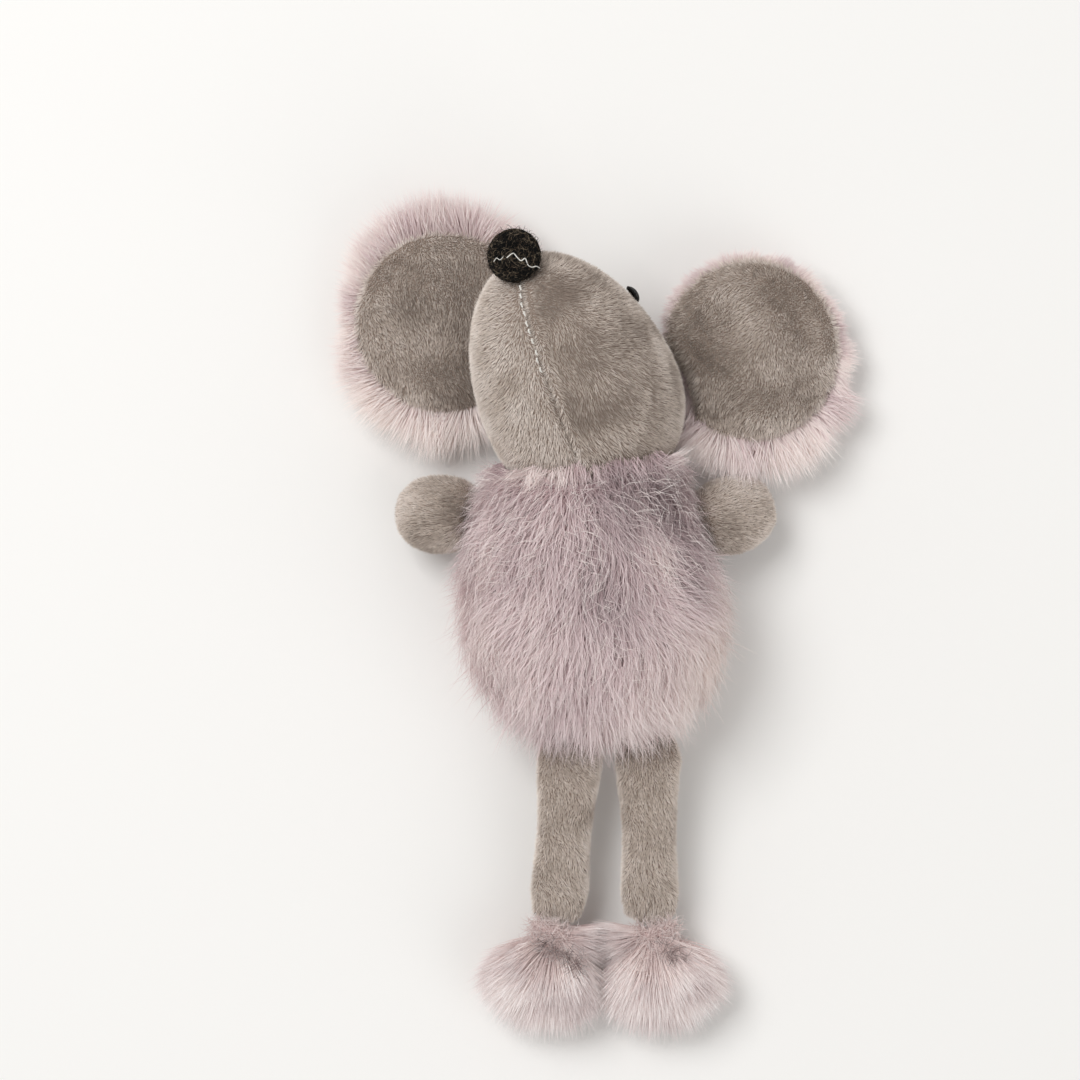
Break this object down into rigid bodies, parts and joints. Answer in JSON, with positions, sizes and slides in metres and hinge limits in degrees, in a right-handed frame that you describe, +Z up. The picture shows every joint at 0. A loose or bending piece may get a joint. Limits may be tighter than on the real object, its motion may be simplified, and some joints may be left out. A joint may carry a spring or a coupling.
{
  "type": "catnip mouse",
  "caption": "Soft toy mouse for a cat, lying on its back: egg-shaped plush head with a pompom nose, round ears, a furry stuffed body with catnip inside, and floppy limbs with furry feet.",
  "frame": {"origin": "on the surface the mouse lies on, under the middle of its back", "axes": "+Z up from that surface to the tummy, +Y from the feet to the head, +X to the right as seen from the front"},
  "size_m": [0.0894, 0.1453, 0.0456],
  "materials": {
    "short_plush": "short grey plush",
    "long_fur": "long lilac-grey pile",
    "foot_fur": "long pale pile",
    "filling": "loose white fibre",
    "sachet_cloth": "thin woven cloth",
    "nose_yarn": "felted black yarn",
    "eye_thread": "black satin-stitched thread"
  },
  "bodies": {
    "torso": {"body_front_panel": "long_fur", "body_back_panel": "long_fur", "body_stuffing_front": "filling", "body_stuffing_back": "filling", "catnip_sachet": "sachet_cloth"},
    "head": {"head_left_panel": "short_plush", "head_right_panel": "short_plush", "head_stuffing": "filling", "nose_pompom": "nose_yarn", "left_eye": "eye_thread", "right_eye": "eye_thread"},
    "left_ear": {"left_ear_front": "short_plush", "left_ear_back": "long_fur"},
    "left_arm": {"left_arm_front": "short_plush", "left_arm_back": "short_plush", "left_arm_stuffing": "filling"},
    "left_leg": {"left_leg_front": "short_plush", "left_leg_back": "short_plush"},
    "left_foot": {"left_foot_fur": "foot_fur"},
    "right_ear": {"right_ear_front": "short_plush", "right_ear_back": "long_fur"},
    "right_arm": {"right_arm_front": "short_plush", "right_arm_back": "short_plush", "right_arm_stuffing": "filling"},
    "right_leg": {"right_leg_front": "short_plush", "right_leg_back": "short_plush"},
    "right_foot": {"right_foot_fur": "foot_fur"}
  },
  "joints": [
    {"name": "head_nod", "type": "hinge", "parent": "torso", "child": "head", "pos_m": [-0.0019, 0.034, 0.0183], "axis": [1, 0, 0], "range_deg": [-10, 30], "stiffness_Nm_per_rad": 0.01},
    {"name": "left_ear_fold", "type": "hinge", "parent": "head", "child": "left_ear", "pos_m": [-0.01539, 0.03764, 0.00727], "axis": [0.7193, 0.6947, 0], "range_deg": [-5, 30], "stiffness_Nm_per_rad": 0.003},
    {"name": "right_ear_fold", "type": "hinge", "parent": "head", "child": "right_ear", "pos_m": [0.01202, 0.04443, 0.01454], "axis": [-0.0349, -0.9994, 0], "range_deg": [-5, 50], "stiffness_Nm_per_rad": 0.003},
    {"name": "left_arm_swing", "type": "hinge", "parent": "torso", "child": "left_arm", "pos_m": [-0.02024, 0.0152, 0.015], "axis": [0.2377, 0.9713, 0], "range_deg": [-10, 50], "stiffness_Nm_per_rad": 0.001},
    {"name": "right_arm_swing", "type": "hinge", "parent": "torso", "child": "right_arm", "pos_m": [0.01722, 0.0128, 0.015], "axis": [0.2913, -0.9566, 0], "range_deg": [-10, 50], "stiffness_Nm_per_rad": 0.001},
    {"name": "left_leg_swing", "type": "hinge", "parent": "torso", "child": "left_leg", "pos_m": [-0.004, -0.0222, 0.015], "axis": [-1, 0, 0], "range_deg": [-5, 75]},
    {"name": "right_leg_swing", "type": "hinge", "parent": "torso", "child": "right_leg", "pos_m": [0.0091, -0.0222, 0.015], "axis": [-1, 0, 0], "range_deg": [-5, 75]},
    {"name": "left_foot_flop", "type": "hinge", "parent": "left_leg", "child": "left_foot", "pos_m": [-0.00668, -0.05709, 0.0082], "axis": [-1, 0, 0], "range_deg": [-10, 70]},
    {"name": "right_foot_flop", "type": "hinge", "parent": "right_leg", "child": "right_foot", "pos_m": [0.00977, -0.05719, 0.0082], "axis": [-1, 0, 0], "range_deg": [-10, 70]}
  ]
}
